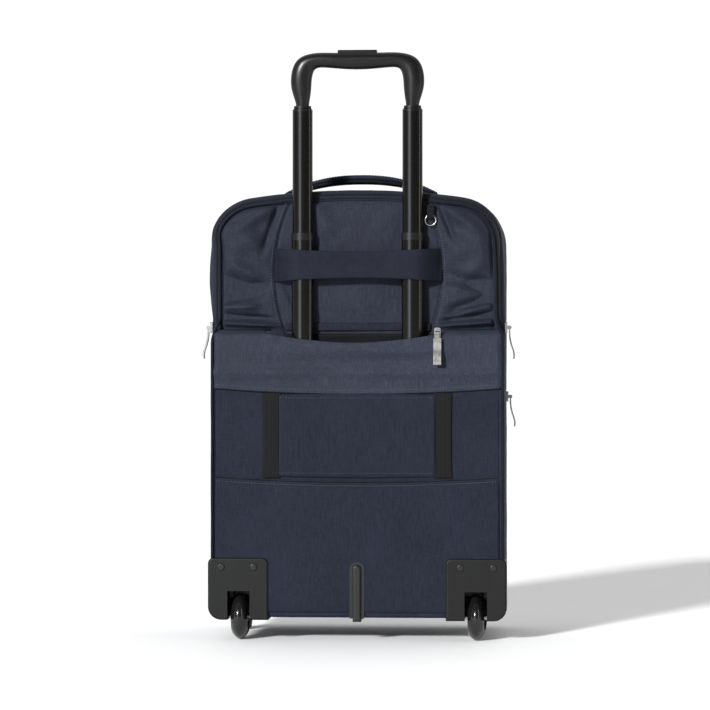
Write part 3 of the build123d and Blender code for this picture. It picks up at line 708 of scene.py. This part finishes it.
def slump(obj):
    """Lets the upper rear corners sag to the case's left, as a soft case that stands half empty."""
    for v in obj.data.vertices:
        p = v.co
        left = 0.0035 * ease(0.475, 0.500, p.z)
        right = 0.0010 + 0.0022 * bell(p.z - 0.488, 0.030)
        sag = (left if p.x < 0 else right) * ease(0.376, 0.410, p.z)
        p.x -= sag * ease(0.100, 0.165, abs(p.x)) * ease(0.040, -0.050, p.y)
    return obj


def upper_back():
    inset = 0.0118
    half = HALF - inset

    def point(u, v):
        x = bowed(half, u)
        z = mix(STEP - 0.020, crown(x, inset), v)
        edge = min((half - abs(x)) / 0.006, (crown(x, inset) - z) / 0.006, 1.0)
        return Vector((x, mix(UPPER_Y + 0.0032, upper_back_y(x, z), ease(0, 1, edge)), z))

    panel = slump(surface("upper_back_cover", grid(320, 150, point), facing=REARWARD))
    thicken(panel, PANEL_PAD)
    dress(panel, "nylon_upper", "case", "upper_back_panel")
    for side, name in SIDES:
        heights = spread(0.380, 0.530, 70)
        beside = [(side * (seam_x(z) + 0.0042), z) for z in heights]
        stitches(f"recess_stitch_{name}", lay_on(upper_back_y, beside, STITCH_LIFT), REARWARD, "case")
        # Dark cord in each recess seam: painted shade inside the seam.
        line = [(side * seam_x(z), z) for z in heights]
        seam(f"recess_seam_shade_{name}", lay_on(upper_back_y, line, -0.0002), "case", 0.0008)


def lip_z(x):
    """Height of the trolley pocket's sagging near edge."""
    return STEP - 0.0165 + 0.0115 * min(abs(x + 0.004) / 0.108, 1.0) ** 1.7


def band_low(x):
    """Height of the band's lower hem."""
    return 0.2980 + 0.0068 * (x / 0.172) ** 2


def seam_low(x):
    """Height of the seam under the sleeve."""
    return 0.1910 + 0.0060 * (x / 0.172) ** 2


def band_face(x, z):
    """Depth of the band's face, with its lengthways waves."""
    y = BAND_Y + 0.0004
    middle = math.exp(-((x / 0.105) ** 4))
    uneven = 0.9 + 0.5 * ripple((x, 0, 0), 0.09)
    y -= 0.0040 * middle * bell(z - 0.350, 0.0070) * uneven
    y += 0.0012 * middle * bell(z - 0.337 - 0.02 * x, 0.0050)
    y -= 0.0034 * bell(z - 0.323, 0.0065) * (0.8 + 0.6 * ripple((x, 0, 0), 0.07, 5.0))
    y -= 0.0004 * ripple((x, 0, z), 0.035, 2.0)
    y -= 0.0010 * bell(z - band_low(x), 0.0030)
    return y


def rear_band():
    """Band below the trolley opening: hem, waved face, a free middle lip and a ledge at the sides."""
    across, up = 300, 56
    half = HALF - 0.0040
    rows = []
    for j in range(up + 13):
        row = []
        for i in range(across + 1):
            x = mix(-half, half, i / across)
            shut = ease(0.101, 0.113, abs(x + 0.004))
            top = mix(lip_z(x), STEP - 0.009, shut)
            if j <= up:
                z = mix(band_low(x), top, j / up)
                y = band_face(x, z)
                y -= 0.0012 * ease(top - 0.012, top, z) * (1 - shut)
            else:
                w = (j - up) / 12
                turn = w * math.pi
                hem_y = BAND_Y - 0.0012 + 0.0016 * (1 - math.cos(turn)) + 0.001 * max(w - 0.5, 0)
                hem_z = top + 0.0009 * math.sin(turn) - 0.008 * max(w - 0.5, 0)
                ledge_y = mix(BAND_Y + 0.0004, UPPER_Y + 0.0010, 1 - math.cos(w * math.pi / 2))
                ledge_z = top + 0.0092 * math.sin(w * math.pi / 2)
                y, z = mix(hem_y, ledge_y, shut), mix(hem_z, ledge_z, shut)
            near_side = ease(half - 0.006, half, abs(x))
            row.append(Vector((x, y + 0.0016 * near_side, z)))
        rows.append(row)
    band = surface("rear_band", rows, facing=towards(0, -1, 0.2))
    thicken(band, 0.0012)
    dress(band, "band", "case", "rear_pocket_band")
    hem = [(x, band_low(x) + 0.0042) for x in spread(-0.170, 0.170, 170)]
    stitches("band_hem_stitch", lay_on(band_face, hem, STITCH_LIFT), REARWARD, "case")
    # Dark cord under the band's hem: painted shade of the overhang.
    edge = [Vector((x, LOWER_Y - 0.0002, band_low(x) - 0.0007)) for x in spread(-0.173, 0.173, 120)]
    seam("band_edge_shade", edge, "case", 0.0010)
    # Dark cords along the ledge's fold: painted shade where the band meets the upper panel.
    for side, name in SIDES:
        fold = [Vector((side * x, upper_back_y(side * x, STEP + 0.0006) - 0.0004, STEP + 0.0002))
                for x in spread(0.106, 0.171, 50)]
        seam(f"ledge_seam_shade_{name}", fold, "case", 0.0010)
    lip = [Vector((x, BAND_Y - 0.0014, lip_z(x) - 0.0058)) for x in spread(-0.098, 0.090, 120)]
    stitches("lip_stitch", lip, REARWARD, "case")


def lower_face(x, z):
    """Depth of the lower back panel's face."""
    y = LOWER_Y + 0.0004
    y += 0.0013 * bell(z - seam_low(x), 0.0016)
    y -= 0.0005 * ripple((x, 0, z * 0.8), 0.045, 4.0)
    y -= 0.0012 * ease(seam_low(x), seam_low(x) - 0.012, z)
    return y


def lower_back():
    inset = 0.0040
    half = HALF - inset

    def point(u, v):
        x = bowed(half, u)
        z = mix(sole(x, inset), 0.310, v)
        edge = ease(0, 1, min((half - abs(x)) / 0.005, (z - sole(x, inset)) / 0.005, 1.0))
        return Vector((x, mix(LOWER_Y + 0.0022, lower_face(x, z), edge), z))

    panel = surface("lower_back_cover", grid(150, 120, point), facing=REARWARD)
    cut_away(panel, HOUSING)
    thicken(panel, 0.0020)
    dress(panel, "nylon_lower", "case", "lower_back_panel")
    below = [(x, seam_low(x) - 0.0040) for x in spread(-0.171, 0.171, 170)]
    stitches("lower_seam_stitch", lay_on(lower_face, below, STITCH_LIFT), REARWARD, "case")
    # Dark cord in the seam line: painted shade inside the seam.
    line = [(x, seam_low(x)) for x in spread(-0.172, 0.172, 120)]
    seam("lower_seam_shade", lay_on(lower_face, line, 0.0001), "case", 0.0007)


def sleeve():
    """Flat trolley sleeve: a cloth panel between two ribbed elastics."""
    low, high = SLEEVE[0].z + 0.0015, SLEEVE[1].z
    half = SLEEVE[1].x
    face = SLEEVE[0].y

    def point(u, v):
        x, z = mix(-half, half, u), mix(low, high, v)
        y = face - 0.0010 * math.sin(math.pi * v) - 0.0003 * ripple((x, 0, z), 0.03, 6.0)
        waist = 0.0016 * math.sin(math.pi * u)
        return Vector((x, y, z + (-waist if v == 0 else waist if v == 1 else 0)))

    cloth = surface("sleeve_cloth", grid(100, 50, point), facing=REARWARD)
    thicken(cloth, 0.0010)
    dress(cloth, "nylon_lower", "case", "sleeve_panel")
    for z in (low + 0.004, high - 0.004):
        path = [Vector((x, face - 0.0014, z)) for x in spread(-half, half, 90)]
        stitches(f"sleeve_stitch_{'low' if z < 0.25 else 'high'}", path, REARWARD, "case")
    strips = []
    for side, name in SIDES:
        def elastic_point(u, v):
            gather = 0.0009 * math.sin(math.pi * v)
            x = mix(half - 0.001, ELASTIC[1].x, u) + gather * (1 - 2 * u)
            y = BAND_Y - 0.0003 - 0.0006 * math.sin(math.pi * u)
            return Vector((side * x, y, mix(low - 0.002, high + 0.002, v)))

        rows = grid(12, 30, elastic_point)
        strip = surface(f"sleeve_elastic_{name}", rows, facing=REARWARD)
        thicken(strip, 0.0012)
        strips.append(strip)
    dress(strips[0], "elastic", "case", "sleeve_elastics")
    dress(strips[1], "elastic", "case")


def strap_fall(a):
    """Share of the way from the tubes to the panel that the strap has fallen at that distance out."""
    w = min(max((a - 0.0700) / 0.0310, 0.0), 1.0)
    return 1 - math.cos(w * math.pi / 2)


def tube_strap():
    """Strap over the trolley tubes, waisted in the middle and sewn flat at both ends."""
    low, high = STRAP[0].z, STRAP[1].z
    near = STRAP[0].y + 0.0006
    foot = UPPER_Y + 0.0012
    end = STRAP[1].x + 0.0010
    rows = []
    for x in spread(-end, end, 120):
        y = mix(near, foot, strap_fall(abs(x)))
        y += 0.0012 * math.cos(math.pi / 2 * min(abs(x) / 0.052, 1))
        waist = 0.0045 * (1 - (x / end) ** 2)
        row = []
        for v in spread(0, 1, 16):
            z = mix(low + waist, high - waist, v)
            curl = 0.0005 * math.cos(2 * math.pi * v)
            row.append(Vector((x, y - curl - 0.0003 * ripple((x, 0, z), 0.02, 8.0), z)))
        rows.append(row)
    strap = surface("tube_strap_cloth", rows, facing=REARWARD)
    thicken(strap, 0.0016)
    dress(strap, "strap", "case", "tube_strap")
    for side, name in SIDES:
        x = 0.0965
        y = mix(near, foot, strap_fall(x)) - 0.0005
        path = [Vector((side * x, y, z)) for z in spread(low + 0.002, high - 0.002, 20)]
        stitches(f"strap_stitch_{name}0", path, towards(side * 0.4, -1, 0), "case", look="black_cloth_and_shade")


# ---- rear zip, piping and trolley pocket
def rear_trim():
    top = over_top(REAR_ZIP_END)
    face = lambda p: (radial(p) * 0.55 + Vector((0, -1, 0)) * 0.84).normalized()
    chain = [rim_at(s, 0.0056, REAR_ZIP_Y) for s in top]
    under = [rim_at(s, 0.0056, REAR_ZIP_Y + 0.0004) for s in top]
    slump(ribbon("rear_zip_tape", under, face, 0.0040, "tape", "case", 0.0006, 4, "rear_zip_chain"))
    slump(teeth("rear_zip_teeth", chain, face))
    low, high = STEP - 0.014, STEP + 0.016  # the piping steps in from the lower back to the upper
    lower_y = LOWER_Y - 0.0006
    cord = [Vector((HALF - 0.0030, lower_y, z)) for z in spread(GUARD_TOP - 0.004, low, 60)[:60]]
    knee = [s for s in over_top(low) if s[0] > 0 and s[1] < high]
    for s in knee:
        w = ease(low, high, s[1])
        cord.append(rim_at(s, mix(0.0030, 0.0100, w), mix(lower_y, PIPING_Y, w)))
    for s in over_top(high):
        behind_tubes = ease(0.096, 0.082, abs(s[0]))
        cord.append(rim_at(s, 0.0100, PIPING_Y + 0.0026 * behind_tubes))
    left = [Vector((-p.x, p.y, p.z)) for p in reversed(cord[: 60 + len(knee)])]
    piping = slump(sweep_tube("rear_piping_cord", resample(cord + left, 0.003), 0.0017, sides=10))
    dress(piping, "piping", "case", "rear_piping")


def pocket_zip():
    """Zip halves of the open trolley pocket, and a dark sheet in its mouth that is painted shade."""
    far = [Vector((x, UPPER_Y - 0.0008, STEP + 0.0040)) for x in spread(-0.088, 0.088, 60)]
    ribbon("pocket_tape_far", far, REARWARD, 0.009, "nylon_lower", "case", 0.0007, 4, "rear_pocket_zip")
    line = [p + Vector((0, -0.0006, -0.0040)) for p in far]
    teeth("pocket_teeth_far", line, towards(0, -1, 0.3), pitch=0.0024, wide=0.0016, tall=0.0008)

    # Dark sheet in the pocket's mouth: painted shade inside the open pocket.
    def point(u, v):
        y = UPPER_Y - 0.0010 + 0.0012 * math.sin(math.pi * v)
        return Vector((mix(-0.101, 0.101, u), y, STEP - 0.0045 - 0.028 * v))

    mouth = surface("pocket_mouth_shade_sheet", grid(40, 8, point), facing=REARWARD)
    thicken(mouth, 0.0005)
    dress(mouth, "black_cloth_and_shade", "case")
    near = [Vector((x, BAND_Y + 0.0026, lip_z(x) - 0.0010)) for x in spread(-0.090, 0.092, 60)]
    teeth("pocket_teeth_near", near, towards(0, 0.6, 1), pitch=0.0024, wide=0.0018)


# ---- carry handle
def handle_line(u):
    """Top and underside heights of the carry handle, u from -1 to 1."""
    x = HANDLE[1].x * u
    top = HANDLE[1].z - 0.0215 * abs(u) ** 2.3
    rest = crown(x, 0) + 0.0002
    top = max(top, rest + 0.0035)
    under = max(HANDLE[1].z - 0.0110 - 0.0180 * abs(u) ** 2.3, rest)
    return x, top, mix(under, rest, ease(0.66, 0.80, abs(u)))


def handle_part(name, low, high, grow):
    """Part of the handle between two shares of its height, grown by a little."""
    rows = []
    for i in range(81):
        x, top, under = handle_line(2 * i / 80 - 1)
        bottom, crest = mix(under, top, low), mix(under, top, high)
        middle, thick = (bottom + crest) / 2, (crest - bottom) / 2 + grow
        row = []
        for k in range(28):
            c, s = math.cos(2 * math.pi * k / 28), math.sin(2 * math.pi * k / 28)
            y = HANDLE_Y + (HANDLE_HALF + grow) * math.copysign(abs(c) ** 0.5, c)
            row.append(Vector((x, y, middle + thick * math.copysign(abs(s) ** 0.7, s))))
        rows.append(row)
    part = surface(name, rows, ring=True, facing=lambda p: Vector((0, p.y - HANDLE_Y, 0)))
    close_ends(part)
    return part


def carry_handle():
    """Padded grab handle: a dark pad under a navy cover, sewn flat to the case at both ends."""
    cover = handle_part("carry_handle_cover", 0.45, 1.0, 0.0003)
    dress(cover, "nylon", "case", "carry_handle")
    pad = handle_part("carry_handle_pad", 0.0, 0.62, -0.0002)
    dress(pad, "black_cloth_and_shade", "case")
    for edge, name in ((-1, "b"), (1, "f")):
        path = []
        for i in range(3, 78):
            x, top, _ = handle_line(2 * i / 80 - 1)
            path.append(Vector((x, HANDLE_Y + edge * HANDLE_HALF * 0.80, top + 0.0001)))
        stitches(f"handle_stitch_{name}", path, UPWARD, "case")
    for side, name in SIDES:
        for u in (0.84, 0.96):
            x, top, _ = handle_line(side * u)
            path = [Vector((x, HANDLE_Y + w * HANDLE_HALF, top + 0.0003))
                    for w in spread(-0.8, 0.8, 14)]
            stitches(f"handle_tack_{name}_{round(u * 100)}", path, UPWARD, "case")


# ---- lid
def lid_walls():
    y0 = LID_BACK + TAPE
    rows = []
    for share in spread(0, 1, 20):
        y = mix(y0, LID_FRONT + 0.0016, share)
        row = []
        for s in RIM:
            swell = 0.0007 * math.sin(math.pi * share) + 0.0004 * ripple((s[0], y, s[1]), 0.04, 9.0)
            if s[0] > 0:  # calm beside the zip's right end
                swell *= 1 - ease(0.250, 0.275, s[1]) * ease(0.510, 0.485, s[1])
            groove = 0.0
            if s[1] > FRONT_ZIP[0].z - 0.004:
                inside = ease(0.0044, 0.0036, abs(y - FRONT_ZIP_Y))
                groove = 0.0017 * inside * ease(FRONT_ZIP[0].z - 0.004, FRONT_ZIP[0].z, s[1])
            row.append(rim_at(s, groove - swell * (0.3 if s[3] < -0.5 else 1), y))
        rows.append(row)
    for past, inset in ((0.0022, 0.0012), (0.0028, 0.0034), (0.0029, 0.0060)):
        rows.append([rim_at(s, inset, LID_FRONT + past) for s in RIM])
    walls = surface("lid_walls", rows, ring=True, facing=away((0, 0.28)))
    thicken(walls, LID_PAD)
    dress(walls, "nylon", "lid", "lid_gusset")
    cord_path = [rim_at(s, 0.0075, PANEL_FRONT + 0.0014) for s in RIM]
    cord = sweep_tube("lid_piping_cord", cord_path, 0.0019, closed=True)
    dress(cord, "piping", "lid", "lid_piping")
    run = [rim_at(s, 0.0010, FRONT_ZIP_Y) for s in over_top(FRONT_ZIP[0].z)]
    ribbon("front_zip_tape", run, radial, 0.0074, "tape", "lid", 0.0006, 4, "front_zip_chain")
    teeth("front_zip_teeth", run, radial, body="lid")


def main_zip():
    """The zip between case and lid: a tape on each, and the closed teeth on the case's side."""
    path = [s for s in RIM if not (s[0] < -HALF + 0.003 and 0.080 < s[1] < 0.480)]
    cut = max(range(len(path)), key=lambda i: math.dist(path[i][:2], path[(i + 1) % len(path)][:2]))
    path = path[cut + 1:] + path[: cut + 1]
    for name, body, y, node in (
        ("main_tape_case", "case", SPLIT - TAPE / 2, "main_zip_case_half"),
        ("main_tape_lid", "lid", LID_BACK + TAPE / 2, "main_zip_lid_half"),
    ):
        ribbon(name, [rim_at(s, 0.0010, y) for s in path], radial, TAPE, "tape", body, 0.0008, 3, node)
        edge = SPLIT - 0.0007 if body == "case" else LID_BACK + 0.0007
        run = [rim_at(s, 0.0008, edge) for s in path]
        teeth(f"main_teeth_{body}", run, radial, pitch=0.0030, wide=0.0020, body=body)


def hinge_cloth():
    """Folded cloth along the left edge that joins the lid to the case."""
    def point(u, v):
        x = -HALF - 0.0002 - 0.0006 * math.sin(math.pi * u)
        return Vector((x, mix(SPLIT - TAPE, LID_BACK + TAPE, u), mix(0.086, 0.474, v)))

    cloth = surface("hinge_cloth", grid(12, 80, point), facing=towards(-1, 0, 0))
    thicken(cloth, 0.0010)
    cloth.data.materials.append(MATS["strap"])
    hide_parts("lid_hinge_strip")
    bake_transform(cloth)


def front_panel():
    """The lid's front cloth, under the pocket."""
    inset = 0.0050

    def point(u, v):
        x = bowed(HALF - inset, u)
        return Vector((x, PANEL_FRONT + 0.0002, mix(sole(x, inset), crown(x, inset), v)))

    panel = surface("lid_front_cloth", grid(60, 70, point), facing=FORWARD)
    thicken(panel, 0.0025)
    dress(panel, "nylon", "lid", "lid_front_panel")


def pocket_zip_z(x):
    """Height of the front pocket's bowed zip."""
    return 0.388 - 0.625 * x**2


def front_pocket():
    """Padded pocket on the lid, inflated as cloth, with a zip across its upper part."""
    rows = []
    layers = ((0.0125, 0.0), (0.0118, 0.35), (0.0130, 0.7), (0.0180, 0.93), (0.0195, 1.0))
    depth = POCKET[1].y - PANEL_FRONT - 0.0055
    for inset, w in layers:
        rows.append([rim_at(s, inset, PANEL_FRONT + 0.0012 + depth * w) for s in RIM])
    face = rows[-1]
    for shrink in (0.75, 0.5, 0.25, 0.04):
        rows.append([Vector((p.x * shrink, p.y, mix(MIDDLE_Z, p.z, shrink))) for p in face])
    back = [[Vector((p.x * k, PANEL_FRONT + 0.0012, mix(MIDDLE_Z, p.z, k))) for p in rows[0]]
            for k in (0.04, 0.4, 0.75)]
    pad = surface("front_pocket_pad", back + rows, ring=True)
    close_ends(pad)
    inflate(pad, voxel=0.0055, pressure=4.0, cap=0.0050)
    for v in pad.data.vertices:
        p = v.co
        if p.y < PANEL_FRONT + 0.006:
            continue
        front = ease(PANEL_FRONT + 0.008, PANEL_FRONT + 0.016, p.y)
        p.y -= 0.0028 * front * bell(p.z - pocket_zip_z(p.x), 0.0075)
        p.y += 0.0006 * front * ripple(p, 0.05, 11.0)
        p.y = min(p.y, POCKET[1].y)
    sub = pad.modifiers.new("round", "SUBSURF")
    sub.levels = sub.render_levels = 1
    for poly in pad.data.polygons:
        poly.use_smooth = True
    dress(pad, "nylon", "lid", "front_pocket")
    return pad


def inflate(obj, voxel, pressure, cap):
    """Swells a closed pad as cloth and keeps the result. No point moves further than cap."""
    mod = obj.modifiers.new("even", "REMESH")
    mod.mode = "VOXEL"
    mod.voxel_size = voxel
    bpy.context.view_layer.objects.active = obj
    apply_all(obj)
    before = [v.co.copy() for v in obj.data.vertices]
    cloth = obj.modifiers.new("cloth", "CLOTH")
    cloth.settings.quality = 6
    cloth.settings.use_pressure = True
    cloth.settings.uniform_pressure_force = pressure
    cloth.settings.effector_weights.gravity = 0
    cloth.point_cache.frame_start = 1
    cloth.point_cache.frame_end = 20
    scene = bpy.context.scene
    for step in range(1, 21):
        scene.frame_set(step)
    apply_all(obj)
    scene.frame_set(1)
    for v, old in zip(obj.data.vertices, before):
        move = v.co - old
        if move.length > cap:
            v.co = old + move * (cap / move.length)


def apply_all(obj):
    """Replaces the mesh by its evaluated copy, with no modifier left."""
    graph = bpy.context.evaluated_depsgraph_get()
    made = bpy.data.meshes.new_from_object(obj.evaluated_get(graph))
    obj.modifiers.clear()
    old = obj.data
    obj.data = made
    bpy.data.meshes.remove(old)


def pocket_trim(pad):
    """Zip and stitch lines across the front pocket."""
    shape = pad.evaluated_get(bpy.context.evaluated_depsgraph_get())

    def run(half, off):
        """Points on the pocket's face, at a height off its zip line."""
        path = []
        for x in spread(-half, half, 140):
            z = pocket_zip_z(x) + off
            hit, spot, _, _ = shape.ray_cast(Vector((x, 0.2, z)), Vector((0, -1, 0)))
            path.append((spot if hit else Vector((x, POCKET[1].y - 0.004, z))) + Vector((0, 0.0002, 0)))
        return path

    path = run(0.140, 0)
    ribbon("front_pocket_tape", path, FORWARD, 0.016, "tape", "lid", 0.0007, 6)
    teeth("front_pocket_teeth", [p + Vector((0, 0.0004, 0)) for p in path], FORWARD, body="lid")
    for k, off in enumerate((-0.0105, 0.0105)):
        stitches(f"front_pocket_stitch_{k}", run(0.142, off), FORWARD, "lid")


# ---- inside
def lining():
    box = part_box("case_lining")
    inset = HALF - box[1].x
    y0, y1 = box[0].y + 0.0004, box[1].y
    rows = []
    for y in spread(y1, y0 + 0.003, 24):
        sag = [0.001 + 0.0008 * ripple((s[0], y, s[1]), 0.05, 13.0) for s in RIM]
        rows.append([rim_at(s, inset + depth, y) for s, depth in zip(RIM, sag)])
    for grow, past in ((0.0022, 0.0008), (0.006, 0.0001), (0.016, 0.0001)):
        rows.append([rim_at(s, inset + grow, y0 + past) for s in RIM])
    last = rows[-1]
    for shrink in (0.8, 0.6, 0.4, 0.2, 0.02):
        rows.append([Vector((p.x * shrink, y0 + 0.0001, mix(MIDDLE_Z, p.z, shrink))) for p in last])
    inwards = lambda p: Vector((-p.x, 0.05, MIDDLE_Z - p.z))
    skin = surface("case_lining_cloth", rows, ring=True, facing=inwards)
    cut_away(skin, WELL)
    thicken(skin, 0.0008)
    dress(skin, "lining", "case", "case_lining")


# ---- hard parts carried over
def hard_parts():
    paint("board", "back_board", "base_tray")
    paint("guard", "corner_guards", "front_feet", "tube_brackets", "frame_wire_case", "frame_wire_lid")
    paint("skid", "centre_skid")
    paint("blacked", "fasteners")
    paint("steel", "wheel_axles", "rod_springs")
    paint("tread", "wheel_tyre_left", "wheel_tyre_right")
    paint("hub", "wheel_hub_left", "wheel_hub_right")
    paint("tube", "outer_tubes", "middle_tubes", "inner_tubes")
    paint("collar", "outer_collars", "middle_collars", "middle_lock_blocks", "inner_lock_blocks")
    paint("grip", "trolley_grip", "grip_button", "release_linkage")
    paint("black_cloth_and_shade", "d_ring_loop")
    pulls = [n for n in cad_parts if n.startswith(("slider_", "pull_tab_"))]
    paint("nickel", "d_ring", *pulls)


# ---- camera, light and floor
def camera():
    data = bpy.data.cameras.new("camera")
    data.sensor_width = 36
    data.lens = 143.12
    data.clip_end = 50
    cam = bpy.data.objects.new("camera", data)
    cam.location = (0.209, -3.5, 0.350)
    cam.rotation_euler = (math.radians(89.91), 0, math.radians(3.565))
    bpy.context.scene.collection.objects.link(cam)
    bpy.context.scene.camera = cam


def lamp(name, place, aim, size, power, colour=(1, 1, 1)):
    data = bpy.data.lights.new(name, "AREA")
    data.shape = "RECTANGLE"
    data.size, data.size_y = size
    data.energy = power
    data.color = colour
    obj = bpy.data.objects.new(name, data)
    obj.location = place
    obj.rotation_euler = (Vector(aim) - Vector(place)).to_track_quat("-Z", "Y").to_euler()
    bpy.context.scene.collection.objects.link(obj)


def studio():
    lamp("softbox", (-1.05, -2.7, 0.95), (0, 0, 0.6), (0.8, 1.8), 15, (0.78, 0.89, 1.0))
    lamp("strip", (2.3, -1.2, 0.90), (0, 0, 0.5), (0.24, 1.7), 6, (1.0, 0.96, 0.88))
    sun = bpy.data.lights.new("overhead", "SUN")
    sun.energy = 5.4
    sun.angle = math.radians(7)
    high = bpy.data.objects.new("overhead", sun)
    high.rotation_euler = Vector((0.452, 0.822, -0.345)).to_track_quat("-Z", "Y").to_euler()
    bpy.context.scene.collection.objects.link(high)
    bpy.context.scene.view_settings.view_transform = "Standard"
    world = bpy.data.worlds.new("studio")
    bpy.context.scene.world = world
    world.use_nodes = True
    tree = world.node_tree
    split = tree.nodes.new("ShaderNodeSeparateXYZ")
    tree.links.new(tree.nodes.new("ShaderNodeTexCoord").outputs["Generated"], split.inputs[0])
    fall = tree.nodes.new("ShaderNodeMapRange")
    for key, value in (("From Min", -0.4), ("From Max", 0.4), ("To Min", 0.08), ("To Max", 1.06)):
        fall.inputs[key].default_value = value
    tree.links.new(split.outputs["Y"], fall.inputs["Value"])
    tree.links.new(fall.outputs[0], tree.nodes["Background"].inputs["Strength"])
    tree.nodes["Background"].inputs[0].default_value = (1, 1, 1, 1)

    s = Shader("floor_pale", Specular_IOR_Level=0.2)
    s.colour(s.cloud((3, 3, 3), detail=2), [(0.3, (0.92, 0.92, 0.92)), (0.7, (0.94, 0.94, 0.94))])
    s.roughness(s.cloud((40, 40, 40)), 0.7, 0.8)
    rows = [[Vector((x, y, 0)) for y in (-12, 0, 40)] for x in (-25, 0, 25)]
    floor = surface("floor", rows, facing=UPWARD)
    floor.data.materials.append(s.mat)


camera()
case_walls()
upper_back()
rear_band()
lower_back()
sleeve()
tube_strap()
rear_trim()
pocket_zip()
carry_handle()
lid_walls()
main_zip()
hinge_cloth()
front_panel()
pocket_trim(front_pocket())
lining()
hard_parts()
studio()
